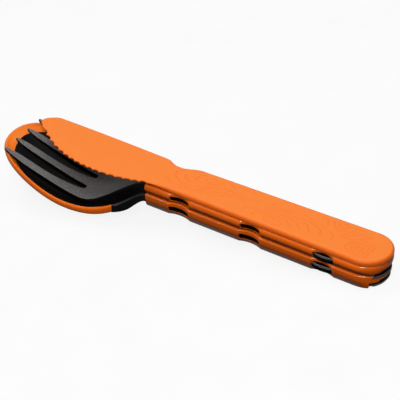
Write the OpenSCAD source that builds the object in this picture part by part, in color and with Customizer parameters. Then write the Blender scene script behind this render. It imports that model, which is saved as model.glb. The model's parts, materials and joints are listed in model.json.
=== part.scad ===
// Nesting picnic cutlery: a spoon, a fork and a knife that stack into one bundle.
// Each piece is drawn with the neck of the handles at x = 0, the handles along +x and the
// foot of the spoon's handle at z = 0. lying() then sets the stack down on the table.

/* [Handles] */
// Length of the knife's handle, from the neck to the round end
handle_len = 114; // [106:0.5:125]
// How much shorter each handle is than the one above it
end_step = 0.4; // [0.2:0.1:1]
// Width of the handles at the neck
handle_front_w = 18.8; // [17.4:0.1:20]
// Width of the handles at the round end
handle_end_w = 22.2; // [20.5:0.1:23]
// Height of the spoon's handle
spoon_h = 6.3; // [5.8:0.1:7]
// Height of the fork's handle
fork_h = 5.1; // [4.8:0.1:6]
// Side wall of an overmoulded grip, measured from its outline without the hollows
grip_wall = 3; // [2.6:0.1:3.4]
// How far a grip's side draws in at its foot
grip_tuck = 1.3; // [0.6:0.1:1.6]
// How far a grip's side swells out past the knife above it
grip_belly = 0.6; // [0.3:0.1:0.8]
// Rounding of a grip's upper edge
grip_round = 0.3; // [0.2:0.1:0.5]
// Height of the fork's lip, which bridges the core at the round end
fork_lip_h = 3.9; // [3.4:0.1:4.2]
// Height of the spoon's lip
spoon_lip_h = 1.8; // [1.4:0.1:2]
// Depth of the notch above the spoon's lip, which the end of the fork's core drops into
end_notch = 1.6; // [1.2:0.1:2]
// How much higher the lips are cut in their middle, for a fingernail
nail_h = 0.8; // [0.5:0.1:1]
// Half angle of that cut
nail_angle = 28; // [20:1:34]
// Depth of the scoop in the end of a core, below the lip
scoop = 1.3; // [0.8:0.1:1.6]
// Half angle of the opening at the round end, where the core shows, at the foot of the fork's lip
end_angle = 44; // [38:1:50]
// How many degrees the opening widens for each millimetre further down
end_spread = 1.8; // [0:0.2:2.4]
// How far the core's end lies inside the grip's outline
end_inset = 0.4; // [0.2:0.1:0.8]
// How far the end of the spoon's core draws in at its foot
end_tuck = 0.6; // [0.4:0.1:1.2]
// Depth of the tray in the top of a handle
tray_depth = 1; // [0.8:0.1:1.2]
// Height of the locating rim that drops into the tray below
locate_h = 0.7; // [0.4:0.1:0.7]
// Play of a locating rim in its tray
nest_play = 0.3; // [0.2:0.05:0.5]

/* [Hollows and windows] */
// Number of finger hollows along each side
hollow_count = 3; // [1:1:3]
// Neck to the middle of the first hollow
hollow_first = 16.9; // [13:0.1:20]
// Spacing of the hollows
hollow_pitch = 35.3; // [28:0.1:37]
// Length of a hollow
hollow_len = 10.4; // [9.8:0.1:13]
// Depth of a hollow
hollow_depth = 1.2; // [0.6:0.1:1.4]
// Length of the window in a hollow
window_len = 10; // [8:0.1:10.4]
// Height of an open window
window_h = 2.6; // [1.8:0.1:2.8]
// How far the core lies behind the bottom of a hollow in its open windows
window_sink = 0.5; // [0.3:0.1:0.8]
// Height of the last window, where the core swells out
pad_h = 2.4; // [1.6:0.1:2.6]
// Radius of that swelling along the handle
pad_r = 16; // [12:0.5:24]
// Top of the handle to the middle of a window
window_drop = 2.5; // [2.3:0.1:2.8]

/* [Cores] */
// Thickness of a core's plate
plate_t = 1.6; // [1.2:0.1:2]
// Thickness of the skirt below the plate
skirt_t = 1.6; // [1.2:0.1:2]
// Thickness of the ribs below the plate
rib_t = 1.2; // [0.8:0.1:1.6]
// Number of cross ribs
rib_count = 6; // [3:1:8]
// How far the ribs stay above the foot of the skirt
rib_rise = 0.8; // [0.4:0.1:1]

/* [Fork] */
// Neck to the tips of the tines
fork_reach = 71.2; // [66:0.2:76]
// Length of the slots between the tines
tine_len = 40; // [32:0.5:42]
// Spacing of the tines
tine_pitch = 8.67; // [8.2:0.01:8.9]
// Width of a tine over most of its length
tine_w = 3.4; // [3:0.1:4]
// Width of a tine at its tip
tine_tip_w = 1.2; // [0.8:0.1:1.6]
// Width of a slot at its closed end
slot_w = 2.9; // [2.4:0.1:3.4]
// Width of the fork's head at its shoulders
fork_head_w = 33; // [31:0.2:34]
// Width of the fork's neck
fork_neck_w = 16; // [14:0.2:17]
// Thickness of the fork's head
fork_t = 2.6; // [2.2:0.1:3]
// Thickness at the tips of the tines
tine_tip_t = 1.3; // [1:0.1:1.6]
// Neck to the lowest point of the fork's belly
belly_x = 29.5; // [26:0.5:33]
// How far the belly lies below the fork's handle plate
belly_drop = 12.9; // [10.5:0.1:14]
// How far the tips of the tines rise above the belly
tip_rise = 8.95; // [7:0.05:10]
// Rise over run at the tips
tip_slope = 0.277; // [0.2:0.005:0.35]

/* [Spoon] */
// How far the spoon's tip reaches past the fork's
tip_overhang = 5.3; // [4.6:0.1:6]
// Drop from the tips of the tines to the tip of the spoon
tip_sink = 0.9; // [0.8:0.05:1.4]
// Drop from the fork's belly to the lowest point of the bowl's rim
nest_drop = 2.35; // [2.2:0.05:3]
// Rise over run of the bowl's rim at its tip
rim_slope = 0.16; // [0.12:0.01:0.22]
// Room between the fork's shoulders and the outside of the bowl
bowl_room = 4.7; // [4.4:0.1:6]
// Neck to the widest and deepest point of the bowl
bowl_mid = 41; // [38:0.5:44]
// Depth of the bowl below its rim
bowl_depth = 8.4; // [6.5:0.1:10]
// Wall of the bowl
bowl_wall = 2; // [1.6:0.1:2.4]
// Width of the spoon's neck
spoon_neck_w = 17.2; // [16:0.2:17.6]
// Width of the scraper at the tip of the bowl
scraper_tip_w = 5.4; // [4:0.1:6]
// Width of the scraper along the sides of the bowl
scraper_side_w = 1.4; // [1.2:0.1:2]
// Height of the scraper's outer face
scraper_h = 2.9; // [2.6:0.1:3.4]
// Neck to the ends of the scraper
scraper_end = 13; // [12:0.1:17]

/* [Knife] */
// Thickness of the knife
knife_t = 2.5; // [2.2:0.1:3.2]
// Neck to the tip of the blade
knife_reach = 64.4; // [58:0.2:68]
// Radius of the blade's nose
nose_r = 4.6; // [3.5:0.1:5.5]
// Lift of the spine towards the nose
spine_lift = 1.2; // [0.4:0.1:2]
// Middle of the handle to the deepest point of the cutting edge
edge_depth = 15.25; // [13.5:0.05:16]
// Neck to the deepest point of the cutting edge
edge_mid = 21.5; // [18:0.5:25]
// Width of the ground bevel behind the cutting edge
bevel_w = 5; // [3.5:0.1:6]
// Thickness left at the cutting edge
edge_t = 0.5; // [0.4:0.1:0.8]
// Number of teeth
tooth_count = 17; // [12:1:20]
// Depth of the gullets near the nose
gullet_tip = 0.8; // [0.5:0.1:1.2]
// Depth of the gullets near the heel
gullet_heel = 0.4; // [0.3:0.1:0.8]
// Rounding of the handle's upper edge
knife_round = 1.3; // [0.8:0.1:1.5]
// Depth of the thumb notch on the spine side
notch_depth = 2.5; // [1.5:0.1:3]
// Length of the thumb notch
notch_len = 18; // [15:0.5:22]

/* [Hidden] */
orange = "#F57F35";
black = "#2C2C2E";
over = 1;
rim_root = 0.5;

// Levels of the stack
fork_z = spoon_h;
knife_z = fork_z + fork_h;
stack_h = knife_z + knife_t;
spoon_lip_z = spoon_h - end_notch - spoon_lip_h;
fork_plate_z = knife_z - tray_depth;
belly_z = fork_plate_z - belly_drop;

// Taper of the handles, and the middle of the round end of a handle of a given length
front_r = handle_front_w / 2;
taper = (handle_end_w / 2 - front_r) / (handle_len - handle_end_w / 2);
fork_len = handle_len - end_step;
spoon_len = fork_len - end_step;
function plain_half(x) = front_r + taper * x;
function end_mid(len) = (len - front_r) / (1 + taper);
function end_r(len) = len - end_mid(len);

function bez(p, t) = pow(1 - t, 3) * p[0] + 3 * t * pow(1 - t, 2) * p[1]
    + 3 * t * t * (1 - t) * p[2] + pow(t, 3) * p[3];
function bez_path(p, steps) = [for (i = [0:steps]) bez(p, i / steps)];
function blend(a, b, t) = a + (b - a) * t;
function smooth(a, b, v) = let (t = max(0, min(1, (v - a) / (b - a)))) t * t * (3 - 2 * t);
function unit2(v) = v / norm(v);
function tail(list) = [for (i = [1:len(list) - 1]) list[i]];
function reversed(list) = [for (i = [len(list) - 1:-1:0]) list[i]];

// A solid through rings of points, with flat first and last rings.
module loft(rings) {
    n = len(rings[0]);
    m = len(rings);
    sides = [for (k = [0:m - 2], j = [0:n - 1])
        let (a = k * n + j, b = k * n + (j + 1) % n) each [[a, a + n, b], [b, a + n, b + n]]];
    caps = [[for (j = [0:n - 1]) j], [for (j = [n - 1:-1:0]) (m - 1) * n + j]];
    polyhedron([for (ring = rings) each ring], concat(sides, caps), convexity = 10);
}

// Side profiles of the heads, as tables of height over x. The holds are the lengths of the curves' handles.
profile_steps = 24;
belly_hold = 0.35;
fork_tip_hold = 13.8;
fork_neck_hold = 6.5;
fork_low_hold = 20.3;
rim_tip_hold = 18;
rim_neck_hold = 6;
rim_low_hold = 10.5;
neck_rise = 0.6;

function head_profile(neck_z, low_z, reach, tip_z, slope, tip_hold, neck_hold, low_hold) =
    let (run = reach - belly_x)
    concat(
        reversed(bez_path([[-belly_x, low_z], [-belly_x - belly_hold * run, low_z],
            [-reach + tip_hold, tip_z - slope * tip_hold], [-reach, tip_z]], profile_steps)),
        tail(reversed(bez_path([[0, neck_z], [-neck_hold, neck_z],
            [-low_hold, low_z], [-belly_x, low_z]], profile_steps))));

fork_profile = head_profile(fork_plate_z, belly_z, fork_reach, belly_z + tip_rise,
    tip_slope, fork_tip_hold, fork_neck_hold, fork_low_hold);
spoon_reach = fork_reach + tip_overhang;
spoon_top_z = spoon_h - tray_depth;
rim_low_z = belly_z - nest_drop;
rim_tip_z = belly_z + tip_rise - tip_sink;
rim_profile = head_profile(spoon_top_z + neck_rise, rim_low_z, spoon_reach, rim_tip_z,
    rim_slope, rim_tip_hold, rim_neck_hold, rim_low_hold);

function rim_top(x) = lookup(x, rim_profile);

// Outline of a handle: half width along x, with the hollows taken off
hollow_r = pow(hollow_len, 2) / (8 * hollow_depth) + hollow_depth / 2;
hollows = [for (i = [0:hollow_count - 1]) hollow_first + i * hollow_pitch];
hollow_steps = 8;
end_steps = 24;

function hollow_dip(x, c) = abs(x - c) < hollow_len / 2
    ? sqrt(pow(hollow_r, 2) - pow(x - c, 2)) - hollow_r + hollow_depth : 0;
function side_half(x) = plain_half(x) - max([for (c = hollows) hollow_dip(x, c)]);

// Points of one side, each with its outward direction, its place on the core and its share of the
// grip's tuck: [x, y, nx, ny, cx, cy, share]
side_xs = concat([0], [for (c = hollows, i = [0:hollow_steps])
    c + hollow_len * (i / hollow_steps - 0.5)]);
slope_step = 0.01;
side_path = [for (x = side_xs)
    let (slope = (side_half(x + slope_step) - side_half(x - slope_step)) / (2 * slope_step),
         n = x == 0 ? [0, 1] : unit2([-slope, 1]))
    [x, side_half(x), n[0], n[1], x, plain_half(x) - grip_wall, 1]];
function end_arc(len, inset) = [for (i = [0:end_steps]) let (a = 180 * i / end_steps - 90)
    [end_mid(len), 0] + (end_r(len) - inset) * [cos(a), sin(a)]];
// The foot of a grip is fuller at the two corners of its round end
corner_fill = 0.85;
function end_path(len) = let (out = end_arc(len, 0), core = end_arc(len, grip_wall))
    [for (i = [0:end_steps]) let (n = unit2(out[i] - core[i]))
        concat(out[i], n, core[i], [1 - corner_fill * pow(2 * n[0] * n[1], 2)])];
function handle_path(len) = concat(
    [for (p = side_path) [p[0], -p[1], p[2], -p[3], p[4], -p[5], p[6]]],
    end_path(len), reversed(side_path));

// Section through the wall of a grip at one point of its path: drawn in at the foot, swelling at half
// its height, sloping back to a rounded upper edge, and flat against the core. It keeps some foot at
// the bottom of the hollows.
belly_share = 0.5;
tuck_steps = 4;
tuck_share = 0.6;
edge_in = -0.3;
end_slim = 0.7;
function wall_section(p, h) = let (
    tuck = min(grip_tuck * p[6], tuck_share * norm([p[0] - p[4], p[1] - p[5]])),
    belly = grip_belly * (1 - end_slim * pow(max(0, p[2]), 2)),
    low = [for (i = [0:tuck_steps]) let (t = i / tuck_steps)
        [blend(-belly, tuck, pow(1 - t, 2)), belly_share * h * t]],
    high = [for (a = [0:22.5:90]) [edge_in + grip_round * (1 - cos(a)), h - grip_round * (1 - sin(a))]])
    concat([[p[4], p[5], 0], [p[4], p[5], h]],
        [for (q = reversed(concat(low, high))) [p[0] - q[0] * p[2], p[1] - q[0] * p[3], q[1]]]);

// Plan of a core inside its grip, from x0 to the round end
module core_plan(len, inset, x0) {
    half = plain_half(x0) - inset;
    polygon(concat([[x0, -half]], end_arc(len, inset), [[x0, half]]));
}

// Wedge out of the round end from z = low to z = high, with a half angle for each
module end_wedge(len, low, high, low_angle, high_angle) {
    reach = 2 * end_r(len);
    loft([for (l = [[low, low_angle], [high, high_angle]])
        [for (p = [[0, 0], [cos(l[1]), -sin(l[1])], [2, 0], [cos(l[1]), sin(l[1])]])
            [end_mid(len) + reach * p[0], reach * p[1], l[0]]]]);
}
function opening_angle(z) = end_angle + end_spread * (knife_z - fork_lip_h - z);

// A slot with round ends along x, cut through one side wall
module window(c, z, h, side) {
    straight = window_len - h;
    translate([c, side * (plain_half(c) - grip_wall - over), z]) rotate([-90 * side, 0, 0])
        linear_extrude(grip_wall + 2 * over) {
            square([straight, h], center = true);
            for (end = [-1, 1]) translate([end * straight / 2, 0]) circle(h / 2, $fn = 32);
        }
}

function window_height(i) = i == hollow_count - 1 ? pad_h : window_h;

// Overmoulded grip with its foot at the level z, open at the round end below lip_foot and above lip_top
module grip(z, h, len, lip_foot, lip_top) {
    difference() {
        loft([for (p = handle_path(len)) wall_section(p, h)]);
        end_wedge(len, -over, lip_foot, opening_angle(z - over), opening_angle(z + lip_foot));
        end_wedge(len, -over, lip_foot + nail_h, nail_angle, nail_angle);
        if (lip_top < h)
            end_wedge(len, lip_top, h + over, opening_angle(z + lip_top), opening_angle(z + h + over));
        for (i = [0:hollow_count - 1], side = [-1, 1])
            window(hollows[i], h - window_drop, window_height(i), side);
    }
}

// Boss of the core in a window: sunk in the open ones, swelling out to the plain outline in the last
module boss(i, h, side) {
    c = hollows[i];
    sunk_half = plain_half(c) - hollow_depth - window_sink;
    intersection() {
        window(c, h - window_drop, window_height(i), side);
        if (i == hollow_count - 1)
            translate([c, side * (plain_half(c) - pad_r), 0]) cylinder(h, pad_r, pad_r, $fn = 180);
        else
            translate([c - window_len, -sunk_half, 0]) cube([2 * window_len, 2 * sunk_half, h]);
    }
}

// Scooped block at the round end of a core, from z = low to z = high. Below the foot of its own
// handle it stands clear of the handle that it drops into.
ledge_share = 0.35;
module end_block(len, low, high, foot_in) {
    inner = end_r(len) - grip_wall - skirt_t / 2;
    clear = end_r(len) - grip_wall + nest_play;
    outer = end_r(len) - end_inset;
    ledge = blend(low, high, ledge_share);
    angle = end_angle - atan(nest_play / outer);
    hollow = bez_path([[outer - scoop, high], [outer - scoop, ledge], [outer - scoop, ledge],
        [outer, ledge]], 6);
    foot = low < 0 ? [[clear, low], [clear, 0], [inner, 0]] : [[inner, low]];
    translate([end_mid(len), 0]) rotate(-angle) rotate_extrude(angle = 2 * angle, $fn = 96)
        polygon(concat([[inner, high]], hollow, [[outer - foot_in, low]], foot));
}

// Handle end of a core: plate, skirt and ribs, and the bosses in the windows
module core_handle(h, len) {
    plate_z = h - tray_depth - plate_t;
    rib_gap = (end_mid(len) - skirt_t) / rib_count;
    translate([0, 0, plate_z]) linear_extrude(plate_t) core_plan(len, grip_wall, 0);
    linear_extrude(plate_z) difference() {
        core_plan(len, grip_wall, 0);
        core_plan(len, grip_wall + skirt_t, skirt_t);
    }
    for (i = [1:rib_count]) let (x = i * rib_gap + skirt_t / 2)
        translate([x - rib_t / 2, grip_wall - plain_half(x) + skirt_t / 2, rib_rise])
            cube([rib_t, 2 * plain_half(x) - 2 * grip_wall - skirt_t, plate_z - rib_rise]);
    translate([skirt_t / 2, -rib_t / 2, rib_rise])
        cube([len - grip_wall - skirt_t, rib_t, plate_z - rib_rise]);
    for (i = [0:hollow_count - 1], side = [-1, 1]) boss(i, h, side);
}

// Locating rim below a handle, sized to drop into the tray of the handle of length len below it
module locating_rim(len, x0) {
    translate([0, 0, -locate_h]) linear_extrude(locate_h + rim_root) difference() {
        core_plan(len, grip_wall + nest_play, x0);
        core_plan(len, grip_wall + nest_play + skirt_t, x0 + skirt_t);
    }
}

// Fork: plan of the head with its tapering slots, cut through a curved sheet
neck_in = 2;
slot_end_x = fork_reach - tine_len;
tip_half = tine_tip_w / 2;
tine_half = tine_w / 2;
outer_tine_y = 1.5 * tine_pitch;
shoulder_x = 26;
shoulder_in = 8;
shoulder_out = 8.5;
point_len = 9;
point_end = 2.5;
point_round = 0.4;
tine_swell = 0.15;
swell_share = 0.4;
tine_bow = 0.4;
bow_start = 18;
bow_hold = 8;
tip_run = 4;
neck_start = 5;
neck_hold = 5.5;

module fork_slot(y) {
    r = slot_w / 2;
    gap = tine_pitch / 2;
    half_at = [[slot_end_x + r, r],
        [slot_end_x + swell_share * tine_len, gap - tine_half - tine_swell],
        [fork_reach - point_len, gap - tine_half],
        [fork_reach - point_end, gap - tip_half - point_round],
        [fork_reach, gap - tip_half], [fork_reach + over, gap - tip_half]];
    translate([0, y]) {
        translate([-slot_end_x - r, 0]) circle(r, $fn = 48);
        polygon(concat([for (p = half_at) [-p[0], p[1]]],
            [for (p = reversed(half_at)) [-p[0], -p[1]]]));
    }
}

module fork_plan() {
    head = fork_head_w / 2;
    neck = fork_neck_w / 2;
    bow = [bow_start - fork_reach, outer_tine_y + tine_half + tine_bow];
    side = concat(
        bez_path([[-fork_reach, outer_tine_y + tip_half],
            [-fork_reach + tip_run, outer_tine_y + tine_half], bow - [bow_hold, 0], bow], 8),
        tail(bez_path([bow, bow + [1.5 * bow_hold, 0],
            [-shoulder_x - shoulder_in, head], [-shoulder_x, head]], 10)),
        tail(bez_path([[-shoulder_x, head], [-shoulder_x + shoulder_out, head],
            [-neck_start - neck_hold, neck], [-neck_start, neck]], 14)),
        [[0, neck], [0, front_r - grip_wall], [neck_in, front_r - grip_wall]]);
    difference() {
        polygon(concat(side, [for (p = reversed(side)) [p[0], -p[1]]]));
        for (k = [-1:1]) fork_slot(k * tine_pitch);
    }
}

// The fork's sheet thickens from the tips and again into the neck
tip_taper = 26;
neck_taper = 14;
neck_extra = 0.8;
function fork_thick(x) = blend(
    blend(tine_tip_t, fork_t, smooth(-fork_reach, tip_taper - fork_reach, x)),
    tray_depth + plate_t + neck_extra, smooth(-neck_taper, 0, x));

module fork_head() {
    above = concat(fork_profile, [[neck_in, fork_plate_z]]);
    below = [for (p = above) [p[0], p[1] - fork_thick(p[0])]];
    intersection() {
        translate([0, 0, belly_z - 2 * fork_t]) linear_extrude(2 * stack_h) fork_plan();
        rotate([90, 0, 0]) linear_extrude(2 * fork_head_w, center = true)
            polygon(concat(above, reversed(below)));
    }
}

// Spoon: plan of the bowl, from the tip to the neck
bowl_half = fork_head_w / 2 + bowl_room;
neck_half = spoon_neck_w / 2;
tip_blunt = 0.87;
tip_hold = 0.36;
bowl_tip = [[-spoon_reach, 0], [-spoon_reach, tip_blunt * bowl_half],
    [-bowl_mid - tip_hold * (spoon_reach - bowl_mid), bowl_half], [-bowl_mid, bowl_half]];
back_hold = 14;
bowl_neck_hold = 8;
bowl_back = [[-bowl_mid, bowl_half], [-back_hold, bowl_half], [-bowl_neck_hold, neck_half],
    [0, neck_half]];
tip_start = 0.035;
tip_steps = 18;
back_steps = 22;
bowl_outline = concat(
    [for (i = [0:tip_steps]) bez(bowl_tip, blend(tip_start, 1, i / tip_steps))],
    tail(bez_path(bowl_back, back_steps)));

function bowl_half_at(x) = lookup(x, bowl_outline);

// Foot of the neck above the foot of the handle
neck_foot = 0.9;

// Floor of the bowl along its middle, rising into the neck's shallow trough
floor_tip_x = -spoon_reach + scraper_tip_w;
floor_step = 0.6;
floor_tip_z = rim_top(floor_tip_x) - floor_step;
floor_low_z = rim_top(-bowl_mid) - bowl_depth;
floor_run = -bowl_mid - floor_tip_x;
tip_lead = 0.15;
tip_fall = 0.45;
low_lead = 0.45;
floor_back = 17;
floor_neck = 5.5;
bowl_floor = concat(
    bez_path([[floor_tip_x, floor_tip_z],
        [floor_tip_x + tip_lead * floor_run, blend(floor_tip_z, floor_low_z, tip_fall)],
        [-bowl_mid - low_lead * floor_run, floor_low_z], [-bowl_mid, floor_low_z]], profile_steps),
    tail(bez_path([[-bowl_mid, floor_low_z], [-floor_back, floor_low_z],
        [-floor_neck, spoon_top_z], [0, spoon_top_z]], profile_steps)));

function floor_top(x) = lookup(x, bowl_floor);
// The wall thickens into the neck: its section squares up, its floor deepens, its edge grows taller
square_run = 4;
square_end = 5;
deepen_run = 24;
edge_run = 6;
edge_end = 7;
edge_extra = 1.8;
edge_drop = 0.9;
function neck_share(x) = smooth(-scraper_end - square_run, -square_end, x);
function floor_wall(x) = blend(bowl_wall, spoon_top_z - neck_foot, smooth(-deepen_run, 0, x));
function edge_h(x) = blend(bowl_wall, scraper_h + edge_extra, smooth(-scraper_end - edge_run, -edge_end, x))
    - edge_drop * smooth(-edge_end, 0, x);

// Inner and outer faces of the bowl at x and at a share s of its half width. The outside is flat
// across its middle, so that the bowl stands without rolling.
neck_square = 1.2;
across_steps = 14;
flat_share = 2 / across_steps;
function inside_z(x, s) = blend(floor_top(x), rim_top(x), s * s);
function outside_z(x, s) = blend(floor_top(x) - floor_wall(x), rim_top(x) - edge_h(x),
    pow(max(0, abs(s) - flat_share) / (1 - flat_share), 2 + neck_square * neck_share(x)));

// A section across the bowl at x, out to a given half width
across = [for (i = [0:across_steps]) 2 * i / across_steps - 1];
function bowl_section(x, half) = let (share = half / bowl_half_at(x))
    concat([for (a = across) [x, a * half, outside_z(x, a * share)]],
        [for (a = reversed(across)) [x, a * half, inside_z(x, a * share)]]);

// Tongue that carries the neck into the plate of the handle
tongue_in = 2;
tongue_skin = 0.5;
module neck_tongue() {
    half = front_r - grip_wall - tongue_skin;
    translate([-tongue_in, -half, neck_foot + tongue_skin])
        cube([2 * tongue_in, 2 * half, spoon_top_z - neck_foot - 2 * tongue_skin]);
}

// The scraper's own band round the edge: outer points with their directions, and inner points
function path_normal(path, i) = let (a = path[max(0, i - 1)], b = path[min(len(path) - 1, i + 1)],
    d = unit2(b - a)) [-d[1], d[0]];
last_gap = 0.6;
straighten = 8;
scraper_count = len([for (p = bowl_outline) if (p[0] < -scraper_end - last_gap) p]);
scraper_edge = concat(
    [for (i = [0:scraper_count - 1]) let (n = i == 0 ? [-1, 0] : path_normal(bowl_outline, i),
        fade = smooth(-scraper_end, -scraper_end - straighten, bowl_outline[i][0]))
        [bowl_outline[i], unit2([n[0] * fade, n[1]])]],
    [[[-scraper_end, bowl_half_at(-scraper_end)], [0, 1]]]);

scraper_round = 0.45;
crown_in = 0.08;
crown_mid = 0.12;
crown_out = 0.05;
foot_tuck = 0.7;
foot_up = 0.3;
function scraper_w(n) = blend(scraper_side_w, scraper_tip_w, pow(max(0, -n[0]), 1.5));
scraper_inner = [for (e = scraper_edge) e[0] - scraper_w(e[1]) * e[1]];

// The core fills the scraper's band and widens to the bowl's full edge behind the scraper's ends
shoulder_run = 0.05;
neck_steps = 12;
core_edge = concat(scraper_inner, [for (i = [0:neck_steps])
    let (x = blend(shoulder_run - scraper_end, 0, i / neck_steps)) [x, bowl_half_at(x)]]);

function scraper_section(i, side) = let (
    n = scraper_edge[i][1],
    out = scraper_edge[i][0],
    inn = scraper_inner[i],
    s = inn[1] / bowl_half_at(inn[0]),
    top = rim_top(out[0]),
    in_top = inside_z(inn[0], s),
    in_foot = outside_z(inn[0], s),
    w = scraper_w(n),
    foot = top - scraper_h,
    shape = [[w, in_top + crown_in], [w / 2, (in_top + top) / 2 + crown_mid],
        [scraper_round, top + crown_out], [0, top - scraper_round], [0, foot + 2 * scraper_round],
        [scraper_round * foot_tuck, foot + scraper_round * foot_up],
        [2 * scraper_round, foot], [w, min(in_foot, in_top - bowl_wall)]])
    [for (q = shape) [out[0] - q[0] * n[0], side * (out[1] - q[0] * n[1]), q[1]]];

// Knife: outline from the nose along the cutting edge, round the handle and back along the spine.
edge_angle = 47;
spine_tip_y = front_r + spine_lift;
nose = [-knife_reach + nose_r, spine_tip_y - nose_r];
nose_end = nose + nose_r * [-sin(edge_angle), -cos(edge_angle)];
heel = [1.5, -front_r - 1.4];
heel_blend = 20;
heel_lead = [6, 2.4];
heel_out = [5, 1];
heel_hold = 7;
nose_hold = 20;
front_hold = 11.5;
mid_hold = 8.5;
edge_front = [nose_end, nose_end + nose_hold * [cos(edge_angle), -sin(edge_angle)],
    [-edge_mid - front_hold, -edge_depth], [-edge_mid, -edge_depth]];
edge_back = [[-edge_mid, -edge_depth], [-edge_mid + mid_hold, -edge_depth], heel - heel_lead, heel];
tooth_steps = 6;
edge_steps = tooth_count * tooth_steps;
front_share = 0.64;

// A place along the whole edge, from the nose at 0 to the heel at 1
function edge_at(t) = t < front_share ? bez(edge_front, t / front_share)
    : bez(edge_back, (t - front_share) / (1 - front_share));
function edge_normal(t) = let (d = unit2(edge_at(min(1, t + 0.002)) - edge_at(max(0, t - 0.002))))
    [d[1], -d[0]];
tooth_start = 0.05;
function gullet(t) = let (u = (t - tooth_start) / (1 - tooth_start), k = u * tooth_count,
    phase = 2 * (k - floor(k)) - 1)
    u <= 0 || u >= 1 ? 0 : blend(gullet_tip, gullet_heel, u) * (1 - phase * phase);

edge_ts = concat([0, tooth_start / 2],
    [for (i = [0:edge_steps]) tooth_start + (1 - tooth_start) * i / edge_steps]);
notch_mid = 7.8;
notch_lead = 2.2;
notch_fall = 4;
notch_rise = 3.7;
notch_out = 3.5;
notch_low = [notch_mid, front_r - notch_depth];
notch_front = [[0, front_r], [notch_lead, front_r], notch_low - [notch_fall, 0], notch_low];
notch_back = [notch_low, notch_low + [notch_rise, 0],
    [notch_len - notch_out, plain_half(notch_len)], [notch_len, plain_half(notch_len)]];
heel_stop = heel[0] + heel_blend;
heel_path = bez_path([heel, heel + heel_out, [heel_stop - heel_hold, -plain_half(heel_blend)],
    [heel_stop, -plain_half(heel_stop)]], 8);
knife_end_path = [for (p = end_path(handle_len)) [p[0], p[1]]];
nose_steps = 10;
nose_path = [for (i = [0:nose_steps]) let (a = 90 + (180 - edge_angle) * i / nose_steps)
    nose + nose_r * [cos(a), sin(a)]];

// Smooth outline without teeth, and the same with them
smooth_edge = [for (t = edge_ts) edge_at(t)];
toothed_edge = [for (t = edge_ts) edge_at(t) - gullet(t) * edge_normal(t)];
rest_of_knife = concat(tail(heel_path), knife_end_path,
    reversed(bez_path(notch_back, 8)), tail(reversed(bez_path(notch_front, 8))),
    [for (i = [1:4]) [-knife_reach * i / 5, blend(front_r, spine_tip_y, i / 4)]],
    [for (i = [0:nose_steps - 1]) nose_path[i]]);
knife_plain = concat(smooth_edge, rest_of_knife);
knife_outline = concat(toothed_edge, rest_of_knife);
knife_points = len(knife_plain);

function loop_normal(path, i) = let (n = len(path),
    d = unit2(path[(i + 1) % n] - path[(i + n - 1) % n])) [d[1], -d[0]];
// 1 on the cutting edge, fading out over the heel and over the nose
function sharp_at(p) = p[1] > nose[1] ? 0
    : (1 - smooth(heel[0], heel[0] + heel_blend, p[0])) * smooth(nose[1], nose_end[1], p[1]);

// Chamfer of the knife's foot, and rounding of its cutting edge
knife_foot = 0.5;
edge_round = 0.3;
module knife_slab() {
    normals = [for (i = [0:knife_points - 1]) loop_normal(knife_plain, i)];
    sharps = [for (p = knife_plain) sharp_at(p)];
    // Each ring: inset and height on the cutting edge, then on the plain sides
    levels = concat(
        [[bevel_w, 0, knife_foot, 0], [0, knife_t - edge_t, 0, knife_foot]],
        [for (a = [0:30:90]) let (k = 1 - cos(a), down = 1 - sin(a))
            [edge_round * k, knife_t - edge_round * down, knife_round * k, knife_t - knife_round * down]]);
    loft([for (l = levels) [for (i = [0:knife_points - 1])
        let (s = sharps[i], inset = blend(l[2], l[0], s),
             base = l[0] == bevel_w ? blend(knife_outline[i], knife_plain[i], s) : knife_outline[i],
             p = base - inset * normals[i])
        [p[0], p[1], knife_z + blend(l[3], l[1], s)]]]);
}

// The stack set down on the table: it lies on the bowl and on the round end of the spoon's handle
rest_x = spoon_len - end_tuck - end_inset;
lie_angle = max([for (p = bowl_floor) atan2(floor_wall(p[0]) - p[1], rest_x - p[0])]);
lie_z = rest_x * sin(lie_angle);
function lain_x(x, z) = x * cos(lie_angle) + z * sin(lie_angle);
mid_x = (lain_x(bowl_outline[0][0], rim_top(bowl_outline[0][0]) - scraper_h + 2 * scraper_round)
    + lain_x(handle_len, stack_h - knife_round)) / 2;

module lying() {
    translate([-mid_x, 0, lie_z]) rotate([0, lie_angle, 0]) children();
}

module knife_body() {
    color(orange) lying() {
        knife_slab();
        translate([0, 0, knife_z]) locating_rim(fork_len, notch_len);
    }
}

module fork_core() {
    color(black) lying() {
        fork_head();
        translate([0, 0, fork_z]) {
            core_handle(fork_h, fork_len);
            end_block(fork_len, nest_play - end_notch, fork_h - fork_lip_h, 0);
            locating_rim(spoon_len, nest_play);
        }
    }
}

module fork_grip() {
    color(orange) lying() translate([0, 0, fork_z])
        grip(fork_z, fork_h, fork_len, fork_h - fork_lip_h, fork_h);
}

module spoon_core() {
    color(black) lying() {
        loft([for (p = core_edge) bowl_section(p[0], p[1])]);
        core_handle(spoon_h, spoon_len);
        end_block(spoon_len, 0, spoon_lip_z, end_tuck);
        neck_tongue();
    }
}

module spoon_grip() {
    color(orange) lying() grip(0, spoon_h, spoon_len, spoon_lip_z, spoon_h - end_notch);
}

module spoon_scraper() {
    last = len(scraper_edge) - 1;
    color(orange) lying() loft(concat([for (i = [last:-1:0]) scraper_section(i, 1)],
        [for (i = [0:last]) scraper_section(i, -1)]));
}

knife_body();
fork_core();
fork_grip();
spoon_core();
spoon_grip();
spoon_scraper();
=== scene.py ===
import json
from bisect import bisect_right
from math import cos, floor, pi, radians, sin, sqrt
import bmesh
import bpy
from mathutils import Matrix, Vector


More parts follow.
